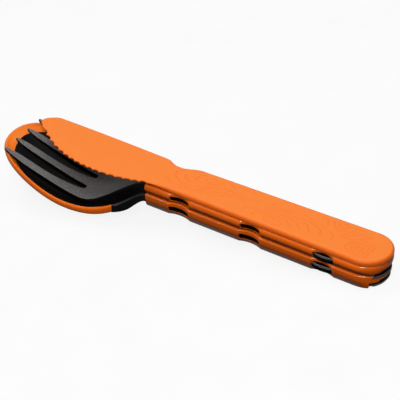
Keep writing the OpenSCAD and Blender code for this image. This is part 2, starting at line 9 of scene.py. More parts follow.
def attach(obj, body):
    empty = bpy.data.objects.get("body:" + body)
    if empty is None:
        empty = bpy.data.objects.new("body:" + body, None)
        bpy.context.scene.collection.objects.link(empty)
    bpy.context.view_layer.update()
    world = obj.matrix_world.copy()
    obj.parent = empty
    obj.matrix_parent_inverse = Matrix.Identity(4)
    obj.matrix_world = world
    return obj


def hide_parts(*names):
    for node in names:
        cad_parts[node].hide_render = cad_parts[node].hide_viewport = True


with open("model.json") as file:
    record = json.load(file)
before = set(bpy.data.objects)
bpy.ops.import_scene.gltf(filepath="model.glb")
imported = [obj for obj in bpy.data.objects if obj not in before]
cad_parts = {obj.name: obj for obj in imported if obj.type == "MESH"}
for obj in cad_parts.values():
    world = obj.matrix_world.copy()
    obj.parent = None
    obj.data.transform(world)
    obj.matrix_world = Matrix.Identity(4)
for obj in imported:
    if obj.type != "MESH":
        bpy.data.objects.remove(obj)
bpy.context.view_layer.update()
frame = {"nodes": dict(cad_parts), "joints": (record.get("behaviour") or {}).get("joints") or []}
scene = bpy.context.scene

# the stack's own axes, in mm: x along the handles from their neck, z up through the pieces
mm = 0.001
stackZ = Vector(frame["joints"][0]["axis"]).normalized()
stackX = Vector((stackZ.z, 0, -stackZ.x))


def lowest(node, axis):
    return min(v.co.dot(axis) for v in frame["nodes"][node].data.vertices)


stackOrigin = stackX * lowest("fork_grip", stackX) + stackZ * lowest("spoon_grip", stackZ)


def place(x, y, z):
    return stackOrigin + (stackX * x + stackZ * z) * mm + Vector((0, y * mm, 0))


# finishes


class Value:  # an output socket that does maths
    def __init__(self, finish, socket):
        self.finish, self.socket = finish, socket

    def maths(self, operation, a, b):
        return self.finish.node("Math", {"operation": operation}, {0: a, 1: b})

    def __add__(self, other):
        return self.maths("ADD", self, other)

    def __radd__(self, other):
        return self.maths("ADD", other, self)

    def __sub__(self, other):
        return self.maths("SUBTRACT", self, other)

    def __rsub__(self, other):
        return self.maths("SUBTRACT", other, self)

    def __mul__(self, other):
        return self.maths("MULTIPLY", self, other)


class Finish:  # a material or the world, and its nodes
    def __init__(self, owner):
        self.owner = owner
        owner.use_nodes = True
        self.tree = owner.node_tree
        self.tree.nodes.clear()

    def node(self, kind, settings, inputs, output=0):
        made = self.tree.nodes.new("ShaderNode" + kind)
        for key, value in settings.items():
            if key == "stops":  # a ramp from black to white
                for element, position in zip(made.color_ramp.elements, value):
                    element.position = position
            else:
                setattr(made, key, value)
        for key, value in inputs.items():
            found = [s for s in made.inputs if key in (s.identifier, s.name)]
            socket = made.inputs[key] if isinstance(key, int) else found[0]
            if isinstance(value, Value):
                self.tree.links.new(value.socket, socket)
            else:
                socket.default_value = linear(value) if isinstance(value, str) else value
        return Value(self, made.outputs[output]) if made.outputs else None

    def mix(self, factor, a, b):
        return self.node("Mix", {"data_type": "RGBA"},
                         {"Factor_Float": factor, "A_Color": a, "B_Color": b}, 2)

    def noise(self, where, scale, detail=2.0, rough=0.5):
        inputs = {"Vector": where, "Scale": scale, "Detail": detail, "Roughness": rough}
        return self.node("TexNoise", {}, inputs)

    def along(self, vector, axis):
        return self.node("VectorMath", {"operation": "DOT_PRODUCT"}, {0: vector, 1: axis}, "Value")

    def fade(self, value, start, stop):  # 0 to 1, eased, from start to stop
        return self.node("MapRange", {"interpolation_type": "SMOOTHSTEP"},
                         {"Value": value, "From Min": start, "From Max": stop})

    def seen(self):  # 1 for what the eye sees, mirrored and through glass too
        straight, glossy, through = (self.node("LightPath", {}, {}, "Is " + kind + " Ray")
                                     for kind in ("Camera", "Glossy", "Transmission"))
        return straight.maths("MAXIMUM", straight, glossy.maths("MAXIMUM", glossy, through))

    def surface(self, shader, kind="OutputMaterial"):
        self.node(kind, {}, {"Surface": shader})
        return self.owner


def linear(hexColour):
    parts = [int(hexColour[i:i + 2], 16) / 255 for i in (1, 3, 5)]
    return [c / 12.92 if c < 0.04045 else ((c + 0.055) / 1.055) ** 2.4 for c in parts] + [1]


moulding = {
    "cloud": (3.0, 0.55), "grain": (2.0, 0.6), "speck": (1.0, 0.5),  # detail and roughness of the noise
    "bumpReach": 0.0001, "coatRough": 0.15, "coatIor": 1.5,
}


def moulded(name, look):
    f, m = Finish(bpy.data.materials.new(name)), moulding
    where = f.node("TexCoord", {}, {}, "Object")
    kinds = ("cloud", "grain", "speck")
    cloud, grain, dots = (f.noise(where, look[kind + "Scale"], *m[kind]) for kind in kinds)
    speck = f.node("ValToRGB", {"stops": look["speckStops"]}, {"Fac": dots})
    tone = f.mix(cloud, look["deep"], look["base"])
    upright = f.along(f.node("TexCoord", {}, {}, "Normal"), stackZ)
    if "edge" in look:  # the rounded edges and sides turn a deeper orange: partly the grain-free edge's own tone, mostly painted shade where the faces turn away from the top
        tone = f.mix(f.fade(upright * upright, 1.0, look["edgeShadeFrom"]), tone, look["edge"])
    tone = f.mix(speck * look["speckAmount"], tone, look["speck"])
    if "neck" in look:  # painted shade: deeper towards the handle, under the knife and round the neck
        pastNeck = f.along(where, stackX) - stackOrigin.dot(stackX)
        tone = f.mix(f.fade(pastNeck, *look["neckSpan"]), tone, look["neck"])
    if "under" in look:  # painted shade: deeper where a side draws in below and faces down
        tone = f.mix(f.fade(upright, 0.0, look["underTo"]), tone, look["under"])
    coat = look["coat"]
    if "polish" in look:  # upper edges are polished
        polish = f.fade(upright, *look["polish"])
        if "curl" in look:  # and so is the curl at the foot
            polish = polish + f.fade(upright, *look["curl"])
        coat = polish * coat
    rough = look["rough"] + (cloud + grain - 1) * look["roughSwing"]
    bump = f.node("Bump", {}, {"Strength": look["grainDepth"], "Distance": m["bumpReach"], "Height": grain})
    return f.surface(f.node("BsdfPrincipled", {}, {
        "Base Color": tone, "Roughness": rough, "Normal": bump, "Specular IOR Level": look["gloss"],
        "Coat Weight": coat, "Coat Roughness": m["coatRough"],
        "Coat IOR": look.get("coatIor", m["coatIor"])}))


knifeLook = {
    "base": "#F98329", "deep": "#F67F25", "speck": "#FF9448", "speckAmount": 0.12,
    # edge: painted shade on the rounded edges and sides
    "edge": "#F56C04", "edgeShadeFrom": 0.82,
    "cloudScale": 60.0, "grainScale": 5200.0, "grainDepth": 0.12, "speckScale": 1900.0,
    "speckStops": (0.6, 0.72), "rough": 0.5, "roughSwing": 0.1, "gloss": 0.3, "coat": 0.0,
}
gripLook = {
    "base": "#F96E08", "deep": "#F56A05", "speck": "#FF8428", "speckAmount": 0.1,
    "cloudScale": 80.0, "grainScale": 4200.0, "grainDepth": 0.15, "speckScale": 1600.0,
    "speckStops": (0.6, 0.74), "rough": 0.2, "roughSwing": 0.06, "gloss": 0.05, "coat": 0.85,
    # under: painted shade on the downward-facing sides
    "polish": (0.45, 0.8), "under": "#7C2C00", "underTo": -0.42,
}
# the spoon grip's under colour is a deeper painted shade on its downward-facing sides
footLook = dict(gripLook, coat=1.0, coatIor=1.6, polish=(0.25, 0.8), curl=(-0.16, -0.32),
                under="#742900", underTo=-0.32)
# the scraper's edge colour is painted shade down its rim and sides
scraperLook = dict(gripLook, base="#FA842A", deep="#F77F25", edge="#F56C04", edgeShadeFrom=0.3,
                   rough=0.4, gloss=0.2, coat=0.0)
# this grey is painted light, the black core as lit from above; the end blocks' ledges wear it as it stands
coreLook = {
    "base": "#555453", "deep": "#484746", "speck": "#86827E", "speckAmount": 0.4,
    "cloudScale": 90.0, "grainScale": 3600.0, "grainDepth": 0.25, "speckScale": 1600.0,
    "speckStops": (0.5, 0.7), "rough": 0.55, "roughSwing": 0.16, "gloss": 0.15, "coat": 0.0,
}
# painted light: the fork's upper face is a lit grey over the black core
headLitLook = dict(coreLook, base="#686766", deep="#595857", speck="#9A9692", neck="#242323",
                # neck: painted shade, deeper towards the handle where the knife shades the fork
                neckSpan=(-0.024, -0.004))
smoothLook = dict(coreLook, base="#070707", deep="#050505", speck="#121212", speckAmount=0.2,
                  grainScale=3000.0, grainDepth=0.12, speckScale=1500.0, speckStops=(0.55, 0.7),
                  rough=0.32, roughSwing=0.1, gloss=0.03)
# neck: painted shade, darker towards the handle on the spoon's neck
spoonLook = dict(smoothLook, base="#1B1A1A", deep="#141313", rough=0.35, gloss=0.06, neck="#040404",
                 neckSpan=(-0.03, -0.012))
# painted highlight: a light grey for the upper flanks of the pads' ribs
ribHighlightLook = dict(smoothLook, base="#8C8884", deep="#7E7A76", speck="#A09C98")
padLook = dict(smoothLook, base="#030303", deep="#020202", gloss=0.02, rough=0.3)
knifePlastic = moulded("knife_plastic_satin", knifeLook)
gripPlastic = moulded("grip_plastic_soft", gripLook)
footPlastic = moulded("grip_plastic_foot", footLook)
scraperPlastic = moulded("scraper_plastic_soft", scraperLook)
coreLitPlastic = moulded("core_plastic_grained_lit", headLitLook)
coreSmooth = moulded("core_plastic_smooth", smoothLook)
spoonPlastic = moulded("spoon_plastic_smooth", spoonLook)
ledgeLitPlastic = moulded("core_plastic_ledge_lit", coreLook)
ribHighlightPlastic = moulded("core_plastic_rib_highlight", ribHighlightLook)
padPlastic = moulded("core_plastic_ribbed", padLook)
print("finishes:", len(bpy.data.materials))

# shapes
weld = {"distance": 1e-6, "flatAngle": 0.3}


def mixed(a, b, t):
    return a + (b - a) * t


def spread(a, b, steps):  # evenly from a to b
    return [mixed(a, b, i / steps) for i in range(steps + 1)]


def rounded(r, steps):  # a quarter round from side to top: how far in and down
    return [(r * (1 - cos(a)), r * (1 - sin(a))) for a in spread(0, pi / 2, steps)]


def bez(p, t):
    a, b, c, d = (1 - t) ** 3, 3 * t * (1 - t) ** 2, 3 * t * t * (1 - t), t ** 3
    return tuple(a * p0 + b * p1 + c * p2 + d * p3 for p0, p1, p2, p3 in zip(*p))


def bezPath(p, steps):
    return [bez(p, t) for t in spread(0, 1, steps)]


def eased(a, b, v):
    t = max(0.0, min(1.0, (v - a) / (b - a)))
    return t * t * (3 - 2 * t)


def tableAt(x, table):  # height over x in a table sorted by x
    i = max(1, min(len(table) - 1, bisect_right(table, x, key=lambda p: p[0])))
    a, b = table[i - 1], table[i]
    return mixed(a[1], b[1], max(0.0, min(1.0, (x - a[0]) / (b[0] - a[0]))))


def moved(p, by):
    return p[0] + by[0], p[1] + by[1]


def unit(x, y):
    size = sqrt(x * x + y * y)
    return x / size, y / size


def loopNormals(path):  # outward, for a closed path that runs anticlockwise
    after = path[1:] + path[:1]
    return [unit(b[1] - path[i - 1][1], path[i - 1][0] - b[0]) for i, b in enumerate(after)]


def lofted(rings):  # points and faces of a closed skin over closed rings
    n, m = len(rings[0]), len(rings)
    points = [p for ring in rings for p in ring]
    faces = []
    for a in range(0, (m - 1) * n, n):
        for j in range(n):
            i = (j + 1) % n
            faces.append((a + j, a + i, a + n + i, a + n + j))
    faces += [tuple(range(n - 1, -1, -1)), tuple(range((m - 1) * n, m * n))]
    return points, faces


def meshOf(points, faces):
    bm = bmesh.new()
    verts = [bm.verts.new(p) for p in points]
    for face in faces:
        bm.faces.new([verts[i] for i in face])
    return bm


def bodyOf(points, faces):  # a closed mesh in the frame, from stack millimetres
    bm = meshOf([place(*p) for p in points], faces)
    bmesh.ops.recalc_face_normals(bm, faces=bm.faces)
    return bm


def shown(name, data):
    made = bpy.data.objects.new(name, data)
    scene.collection.objects.link(made)
    return made


def objectOf(name, bm):
    data = bpy.data.meshes.new(name)
    bm.to_mesh(data)
    bm.free()
    return shown(name, data)


def finishPiece(name, bm, materials, body, node=None, sharp=35):
    for face in bm.faces:
        face.smooth = True
    for edge in bm.edges:
        edge.smooth = len(edge.link_faces) == 2 and edge.calc_face_angle(0) < radians(sharp)
    piece = objectOf(name, bm)
    for material in materials:
        piece.data.materials.append(material)
    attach(piece, body)
    if node:
        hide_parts(node)


def cadPortion(node, point, normal):  # the part of a CAD node on the inner side of a plane
    bm = bmesh.new()
    bm.from_mesh(frame["nodes"][node].data)
    bmesh.ops.remove_doubles(bm, verts=bm.verts, dist=weld["distance"])
    bmesh.ops.dissolve_limit(bm, angle_limit=radians(weld["flatAngle"]), verts=bm.verts, edges=bm.edges)
    cut = bmesh.ops.bisect_plane(bm, geom=bm.verts[:] + bm.edges[:] + bm.faces[:], plane_co=point,
                                 plane_no=normal, clear_outer=True)["geom_cut"]
    bmesh.ops.holes_fill(bm, edges=[e for e in cut if isinstance(e, bmesh.types.BMEdge)])
    return bm


# handles: shared outline of the three pieces
handle = {
    "length": 114.0, "endStep": 0.4, "frontWidth": 18.8, "endWidth": 22.2, "endSteps": 72,
    "spoonHeight": 6.3, "forkHeight": 5.1, "wall": 3.0, "tray": 1.0,
    "hollows": [16.9, 52.2, 87.5], "hollowLength": 10.4, "hollowDepth": 1.2, "soften": 0.15, "softSteps": 12,
    "windowLength": 10.2, "windowHeight": 2.7, "windowCorner": 0.7, "cornerSteps": 8, "padHeight": 3.6,
    "endAngle": 44.0, "endSpread": 1.8, "nailAngle": 28.0, "nailHeight": 0.8, "cutReach": 30.0,
    "cutPast": 1.0, "forkLip": 3.9, "spoonLip": 1.4, "endNotch": 2.1, "endInset": 0.4,
}
frontRadius = handle["frontWidth"] / 2
taper = (handle["endWidth"] / 2 - frontRadius) / (handle["length"] - handle["endWidth"] / 2)
forkLength = handle["length"] - handle["endStep"]
spoonLength = forkLength - handle["endStep"]
forkZ = handle["spoonHeight"]
knifeZ = forkZ + handle["forkHeight"]
forkLipZ = knifeZ - handle["forkLip"]
spoonNotchZ = handle["spoonHeight"] - handle["endNotch"]
hollows = handle["hollows"]
lastHollow = len(hollows) - 1
hollowRadius = handle["hollowLength"] ** 2 / (8 * handle["hollowDepth"]) + handle["hollowDepth"] / 2


def plainHalf(x):  # half width of a handle without its hollows
    return frontRadius + taper * x


def endMid(length):  # middle of the round end
    return (length - frontRadius) / (1 + taper)


def hollowDip(x):
    near = min(abs(x - c) for c in hollows)
    if near >= handle["hollowLength"] / 2:
        return 0.0
    return sqrt(hollowRadius ** 2 - near ** 2) - hollowRadius + handle["hollowDepth"]


def softDip(x):  # the hollow's dip with its rims eased
    dips = [hollowDip(x + d) for d in spread(-handle["soften"], handle["soften"], handle["softSteps"])]
    return sum(dips) / len(dips)


def endArc(length, inset, steps):
    mid, radius = endMid(length), length - endMid(length) - inset
    return [(mid + radius * cos(a), radius * sin(a)) for a in spread(-pi / 2, pi / 2, steps)]


# knife
knife = {
    "thickness": 2.5, "reach": 64.4, "spineLift": 1.2, "spineRun": 0.8, "spineSteps": 8,
    "noseRadius": 4.6, "noseTip": 1.2, "noseCut": 6.6, "noseIn": 2.6, "noseDrop": 0.45, "noseLow": 0.9,
    "noseBevel": [(1.8, 0.0), (0.7, 0.0), (-0.2, -0.15), (-1.3, -0.8)],
    "noseFront": [(1.6, -2.5), (0.0, -3.5)], "noseUnder": (-0.45, 0.5), "noseSteps": (10, 18, 10),
    "edgeDepth": 15.25, "edgeMid": 21.5, "edgeAngle": 47.0, "frontShare": 0.64,
    "noseHold": 20.0, "deepFront": (-11.5, 0.0), "deepRear": (8.5, 0.0), "heelFront": (-6.0, -2.4),
    "teeth": 17, "toothSteps": 14, "toothStart": 0.05, "startSteps": 6, "gulletTip": 1.0, "gulletHeel": 0.85,
    "probe": 0.002, "heelX": 1.5, "heelOut": 1.4, "heelBlend": 20.0, "heelRear": (5.0, 1.0),
    "blendHold": 7.0, "notchDepth": 2.5, "notchLength": 18.0, "notchMid": 7.8, "pathSteps": 24,
    "notchHolds": [(2.2, 0.0), (-4.0, 0.0), (3.7, 0.0), (-3.5, 0.0)], "stations": [40, 60, 80],
    "bevelWidth": 5.0, "bevelSteps": 6, "edgeThickness": 0.5, "edgeRound": 0.3, "round": 1.3, "roundSteps": 8,
    "foot": 0.5, "capIn": 0.3, "rimGap": 0.001,
}


def knifeOutlines():  # smooth and toothed outline, and how keen each point is
    k = knife
    angle, steps, start = radians(k["edgeAngle"]), k["pathSteps"], k["toothStart"]
    spineY = frontRadius + k["spineLift"]
    noseY = spineY - k["noseRadius"]
    noseEnd = (k["noseIn"] - k["reach"], noseY - k["noseRadius"] * cos(angle) - k["noseDrop"])
    heel = (k["heelX"], -frontRadius - k["heelOut"])
    deep = (-k["edgeMid"], -k["edgeDepth"])
    noseHold = (k["noseHold"] * cos(angle), -k["noseHold"] * sin(angle))
    front = [noseEnd, moved(noseEnd, noseHold), moved(deep, k["deepFront"]), deep]
    rear = [deep, moved(deep, k["deepRear"]), moved(heel, k["heelFront"]), heel]

    def edgeAt(t):
        share = k["frontShare"]
        return bez(front, t / share) if t < share else bez(rear, (t - share) / (1 - share))

    def gullet(t):
        u = (t - start) / (1 - start)
        if u <= 0 or u >= 1:
            return 0.0
        phase = 2 * (u * k["teeth"] - floor(u * k["teeth"])) - 1
        return mixed(k["gulletTip"], k["gulletHeel"], u) * (1 - phase * phase)

    plain, toothed = [], []
    for t in spread(0, start, k["startSteps"])[:-1] + spread(start, 1, k["teeth"] * k["toothSteps"]):
        a, b, here = edgeAt(max(0, t - k["probe"])), edgeAt(min(1, t + k["probe"])), edgeAt(t)
        d = unit(b[0] - a[0], b[1] - a[1])
        plain.append(here)
        toothed.append((here[0] - gullet(t) * d[1], here[1] + gullet(t) * d[0]))
    stop = heel[0] + k["heelBlend"]
    blend = [(stop - k["blendHold"], -plainHalf(k["heelBlend"])), (stop, -plainHalf(stop))]
    rest = bezPath([heel, moved(heel, k["heelRear"])] + blend, steps)[1:]
    rest += [(x, -plainHalf(x)) for x in k["stations"]]
    rest += endArc(handle["length"], 0, handle["endSteps"])
    rest += [(x, plainHalf(x)) for x in k["stations"][::-1]]
    corner, low = (0, frontRadius), (k["notchMid"], frontRadius - k["notchDepth"])
    wide = (k["notchLength"], plainHalf(k["notchLength"]))
    holds = [moved(p, by) for p, by in zip((corner, low, low, wide), k["notchHolds"])]
    rest += bezPath([low] + holds[2:] + [wide], steps)[::-1]
    rest += bezPath([corner] + holds[:2] + [low], steps)[::-1][1:]
    for run in spread(0, 1, k["spineSteps"])[1:]:
        rest.append((-k["reach"] * k["spineRun"] * run, mixed(frontRadius, spineY, sin(pi / 2 * run))))
    tipX, cutX = k["noseTip"] - k["reach"], k["noseCut"] - k["reach"]
    bevel = [moved((cutX, spineY), by) for by in k["noseBevel"]]  # the spine is cut off short of the nose
    nose = [moved((tipX, spineY), by) for by in k["noseFront"]] + [(tipX, noseY - k["noseLow"])]
    under = [(tipX, noseEnd[1] + k["noseLow"]), moved(noseEnd, k["noseUnder"]), noseEnd]
    for path, count in zip((bevel, bevel[-1:] + nose, nose[-1:] + under), k["noseSteps"]):
        rest += bezPath(path, count)[:-1]

    def keen(p):  # 1 on the cutting edge, fading over the heel and the nose
        if p[1] > noseY:
            return 0.0
        return (1 - eased(heel[0], stop, p[0])) * eased(noseY, noseEnd[1], p[1])

    return plain + rest, toothed + rest, [keen(p) for p in plain + rest]


def knifeBlade():
    k = knife
    plain, outline, keens = knifeOutlines()
    normals = loopNormals(plain)
    top, edge = k["thickness"], k["thickness"] - k["edgeThickness"]
    levels = [(k["bevelWidth"] + k["capIn"], 0, k["foot"] + k["capIn"], 0, 0)]
    for u, (up, inset) in zip(spread(0, 1, k["bevelSteps"]), rounded(k["foot"], k["bevelSteps"])):
        levels.append((k["bevelWidth"] * (1 - u), edge * u, inset, up, u))
    for keenEdge, plainEdge in zip(*(rounded(r, k["roundSteps"]) for r in (k["edgeRound"], k["round"]))):
        levels.append((keenEdge[0], top - keenEdge[1], plainEdge[0], top - plainEdge[1], 1))
    levels.append((k["edgeRound"] + k["capIn"], top, k["round"] + k["capIn"], top, 1))
    rings = []
    for keenIn, keenZ, plainIn, plainZ, toothShare in levels:
        ring = []
        for p, q, n, s in zip(plain, outline, normals, keens):
            inset, share = mixed(plainIn, keenIn, s), mixed(1, toothShare, s)
            ring.append((mixed(p[0], q[0], share) - inset * n[0], mixed(p[1], q[1], share) - inset * n[1],
                         knifeZ + mixed(plainZ, keenZ, s)))
        rings.append(ring)
    return bodyOf(*lofted(rings))


finishPiece("knife_blade_and_handle", knifeBlade(), [knifePlastic], "knife",
            "knife_body", 40)
rim = cadPortion("knife_body", place(0, 0, knifeZ - knife["rimGap"]), stackZ)
finishPiece("knife_locating_rim", rim, [knifePlastic], "knife")

# contour lines on the knife's handle: nested loops round a few hills
relief = {
    "height": 0.12, "half": 0.3, "margin": 2.4, "start": 5.0, "stop": 111.0, "turns": 150,
    "clear": 0.2, "fewest": 8, "swell": 6, "blunt": 0.2,
    "hills": [  # x, y, first radius, step, loops, stretch along x, phase
        (26.0, 4.5, 1.6, 1.9, 5, 2.3, 0.4), (61.0, -6.0, 1.8, 2.1, 6, 2.1, 2.1),
        (88.0, 7.0, 1.4, 1.8, 4, 1.8, 3.6), (101.0, -3.5, 1.2, 1.6, 3, 1.4, 5.2),
        (40.0, -9.5, 1.5, 1.9, 2, 1.7, 1.2), (49.0, 8.0, 1.3, 1.7, 3, 2.4, 4.3),
        (80.0, -10.0, 1.2, 1.8, 2, 1.9, 0.9),
    ],
    "waves": [(2, 0.16, 1, 0.0), (3, 0.09, 2, 0.2), (7, 0.04, 0, 1.0)],  # count, size, phases, drift per loop
    "section": [(-1, -0.02), (-0.4, 0.8), (0, 1.0), (0.4, 0.8), (1, -0.02)],  # shares of half and height
}


def knifeHalf(x):  # half width of the knife's handle, its round end too
    mid = endMid(handle["length"])
    if x < mid:
        return plainHalf(x)
    return sqrt(max(0.0, (handle["length"] - mid) ** 2 - (x - mid) ** 2))


def onHill(x, y, hill):
    cx, cy, first, step, loops, stretch = hill[:6]
    return ((x - cx) / stretch) ** 2 + (y - cy) ** 2 < (first + step * (loops - relief["clear"])) ** 2


def reliefLoops():  # runs of points, broken off at the margin and at earlier hills
    r, runs = relief, []
    for n, (cx, cy, first, step, loops, stretch, phase) in enumerate(r["hills"]):
        for k in range(loops):
            radius, run = first + step * k, []
            for a in spread(0, 2 * pi, r["turns"]):
                wave = 1 + sum(size * sin(count * a + phases * phase + drift * k)
                               for count, size, phases, drift in r["waves"])
                x, y = cx + stretch * radius * wave * cos(a), cy + radius * wave * sin(a)
                inside = r["start"] < x < r["stop"] and abs(y) < knifeHalf(x) - r["margin"]
                if inside and not any(onHill(x, y, hill) for hill in r["hills"][:n]):
                    run.append((x, y))
                else:
                    runs, run = runs + [run], []
            runs.append(run)
    return [run for run in runs if len(run) > r["fewest"]]


def reliefBody():
    points, faces, top = [], [], knifeZ + knife["thickness"]
    r, wide = relief, len(relief["section"])
    for run in reliefLoops():
        start, last = len(points), len(run) - 1
        for i, (x, y) in enumerate(run):
            (ax, ay), (bx, by) = run[max(0, i - 1)], run[min(last, i + 1)]
            dx, dy = unit(bx - ax, by - ay)
            swell = min(1.0, (min(i, last - i) + r["blunt"]) / r["swell"])
            for side, up in r["section"]:
                points.append((x - side * r["half"] * dy, y + side * r["half"] * dx,
                               top + r["height"] * up * (swell if up > 0 else 1)))
        for a in range(start, start + wide * last, wide):
            faces += [(a + j + wide, a + j + wide + 1, a + j + 1, a + j) for j in range(wide - 1)]
    return meshOf([place(*p) for p in points], faces)


finishPiece("knife_contour_relief", reliefBody(), [knifePlastic], "knife", None, 60)
print("knife done")

# grips: their sides round over at the top and draw in to the foot
grip = {
    "frontRound": 0.35, "frontXs": [0, 0.03, 0.1, 0.2, 0.35, 1.5, 3, 4.5, 6, 7.5, 9, 10.5], "endGap": 0.5,
    "hollowSteps": 48, "rimReach": 0.6, "rimSteps": 8, "spanStart": 2.0, "spanPitch": 3.1,
    "spanPitches": 8, "lastPitches": 3, "probe": 0.02,
    "hollowFlat": 0.8, "cornerFill": 0.85, "endSlim": 0.7, "tuckShare": 0.6,
    "bevel": 0.12, "overSteps": 16, "sideSteps": 12, "footEnd": [(-0.03, 0.06), (0.1, 0.0)],
    "coreSide": 0.2, "footShare": 0.4,
}
forkSide = {
    "height": handle["forkHeight"], "length": forkLength, "foot": forkZ,
    "lipFoot": handle["forkHeight"] - handle["forkLip"], "lipTop": handle["forkHeight"],
    "tuck": 1.0, "belly": 0.65, "bellyShare": 0.64, "edgeIn": 0.9, "curl": 2.0,
    "windowDrop": 2.6, "padDrop": 2.95, "shift": 0.8,
}
spoonSide = {
    "height": handle["spoonHeight"], "length": spoonLength, "foot": 0.0,
    "lipFoot": spoonNotchZ - handle["spoonLip"], "lipTop": spoonNotchZ,
    "tuck": 1.0, "belly": 0.2, "bellyShare": 0.9, "edgeIn": 0.8, "curl": 2.5,
    "windowDrop": 3.15, "padDrop": 3.05, "shift": 0.0,
}


def gripSection(side, tuck, belly, edgeIn):  # inset and height, up the core, over and down the side
    wall, height, mid = handle["wall"], side["height"], side["bellyShare"] * side["height"]
    section = [(wall, 0.0), (wall, height - grip["bevel"]), (wall - grip["bevel"], height)]
    section += [(mixed(edgeIn, -belly, cos(a)), mixed(mid, height, sin(a)))
                for a in spread(pi / 2, 0, grip["overSteps"])[:-1]]
    section += [(mixed(-belly, tuck, t ** side["curl"]), mid * (1 - t))
                for t in spread(0, 1, grip["sideSteps"])[:-1]]
    return section + [(tuck + x, z) for x, z in grip["footEnd"]]


def gripStations(side):  # closer together round the hollows and at the front
    g, reach = grip, handle["hollowLength"] / 2
    xs = g["frontXs"][:]
    for n, c in enumerate(c + side["shift"] for c in hollows):
        xs += [c + (reach + handle["soften"]) * sin(a) for a in spread(-pi / 2, pi / 2, g["hollowSteps"])]
        rim = spread(reach - g["rimReach"], reach + g["rimReach"], g["rimSteps"])
        xs += [c + way * x for way in (-1, 1) for x in rim]
        count = g["lastPitches"] if n == lastHollow else g["spanPitches"]
        xs += [c + reach + g["spanStart"] + g["spanPitch"] * i for i in range(count)]
    return sorted(set(round(x, 3) for x in xs if 0 <= x < endMid(side["length"]) - g["endGap"]))


def gripPath(side):  # outer point, normal, core point, front rounding, share of the tuck
    g, wall, flank = grip, handle["wall"], []
    for x in gripStations(side):
        at = x - side["shift"]
        slope = (softDip(at - g["probe"]) - softDip(at + g["probe"])) / (2 * g["probe"]) + taper
        n = unit(-slope, 1) if x > g["frontRound"] else (0.0, 1.0)
        ease = max(0.0, 1 - x / g["frontRound"])
        shrink = g["frontRound"] * (1 - sqrt(max(0.0, 1 - ease * ease)))
        flank.append((x, plainHalf(x) - softDip(at), n[0], n[1], x, plainHalf(x) - wall, shrink, 1.0))
    path = [(x, -y, nx, -ny, cx, -cy, shrink, share) for x, y, nx, ny, cx, cy, shrink, share in flank]
    out, core = (endArc(side["length"], inset, handle["endSteps"]) for inset in (0, wall))
    for (x, y), (cx, cy) in zip(out, core):
        n = unit(x - cx, y - cy)
        path.append((x, y) + n + (cx, cy, 0.0, 1 - g["cornerFill"] * (2 * n[0] * n[1]) ** 2))
    return path + flank[::-1]


def gripBody(side):
    h, g, rings = handle, grip, []
    for x, y, nx, ny, cx, cy, shrink, share in gripPath(side):
        wall = sqrt((x - cx) ** 2 + (y - cy) ** 2)
        plain = 1 - g["hollowFlat"] * softDip(x - side["shift"]) / h["hollowDepth"]
        belly = side["belly"] * plain * (1 - g["endSlim"] * max(0.0, nx) ** 2)
        tuck = min(side["tuck"] * share, g["tuckShare"] * wall)
        ring = []
        for inset, z in gripSection(side, tuck, belly, side["edgeIn"] * plain):
            if inset > h["wall"] - g["coreSide"]:  # the face against the core
                back = h["wall"] - inset
                ring.append((cx + back * nx, cy + back * ny, side["foot"] + z))
            else:
                deep = inset + shrink * max(0.0, 1 - inset / wall)
                up = min(max(z, g["footShare"] * shrink), side["height"] - shrink)
                ring.append((x - deep * nx, y - deep * ny, side["foot"] + up))
        rings.append(ring)
    return bodyOf(*lofted(rings))


def prism(outline, low, high):  # a cutter: an outline in x and z drawn along y
    return lofted([[(x, level, z) for x, z in outline] for level in (low, high)])


def openingAngle(z):
    return handle["endAngle"] + handle["endSpread"] * (forkLipZ - z)


def wedge(length, *levels):  # a cutter at the round end: half angle at each level
    mid, reach, rings = endMid(length), handle["cutReach"], []
    for z, angle in levels:
        x, y = reach * cos(radians(angle)), reach * sin(radians(angle))
        rings.append([(mid, 0, z), (mid + x, -y, z), (mid + 2 * reach, 0, z), (mid + x, y, z)])
    return lofted(rings)


def windowOutline(cx, cz, tall):
    h, corner, points = handle, handle["windowCorner"], []
    for turn, (sx, sz) in enumerate(((1, -1), (1, 1), (-1, 1), (-1, -1))):
        x, z = cx + sx * (h["windowLength"] / 2 - corner), cz + sz * (tall / 2 - corner)
        points += [(x + corner * cos(a), z + corner * sin(a))
                   for a in spread(pi / 2 * (turn - 1), pi / 2 * turn, h["cornerSteps"])]
    return points


def cutAway(bm, cutters):  # boolean difference by the exact solver
    carved = objectOf("carve", bm)
    tools = [objectOf("cutter", bodyOf(*cutter)) for cutter in cutters]
    for tool in tools:
        step = carved.modifiers.new("cut", "BOOLEAN")
        step.operation, step.solver, step.object = "DIFFERENCE", "EXACT", tool
    bpy.context.view_layer.update()
    result = bmesh.new()
    result.from_mesh(carved.evaluated_get(bpy.context.evaluated_depsgraph_get()).data)
    for thing in [carved] + tools:
        used = thing.data
        bpy.data.objects.remove(thing)
        bpy.data.meshes.remove(used)
    bmesh.ops.remove_doubles(result, verts=result.verts, dist=weld["distance"])
    return result


def windowTall(i):
    return handle["padHeight"] if i == lastHollow else handle["windowHeight"]


def windowZ(i, side):  # height of a window's middle
    return side["foot"] + side["height"] - side["padDrop" if i == lastHollow else "windowDrop"]


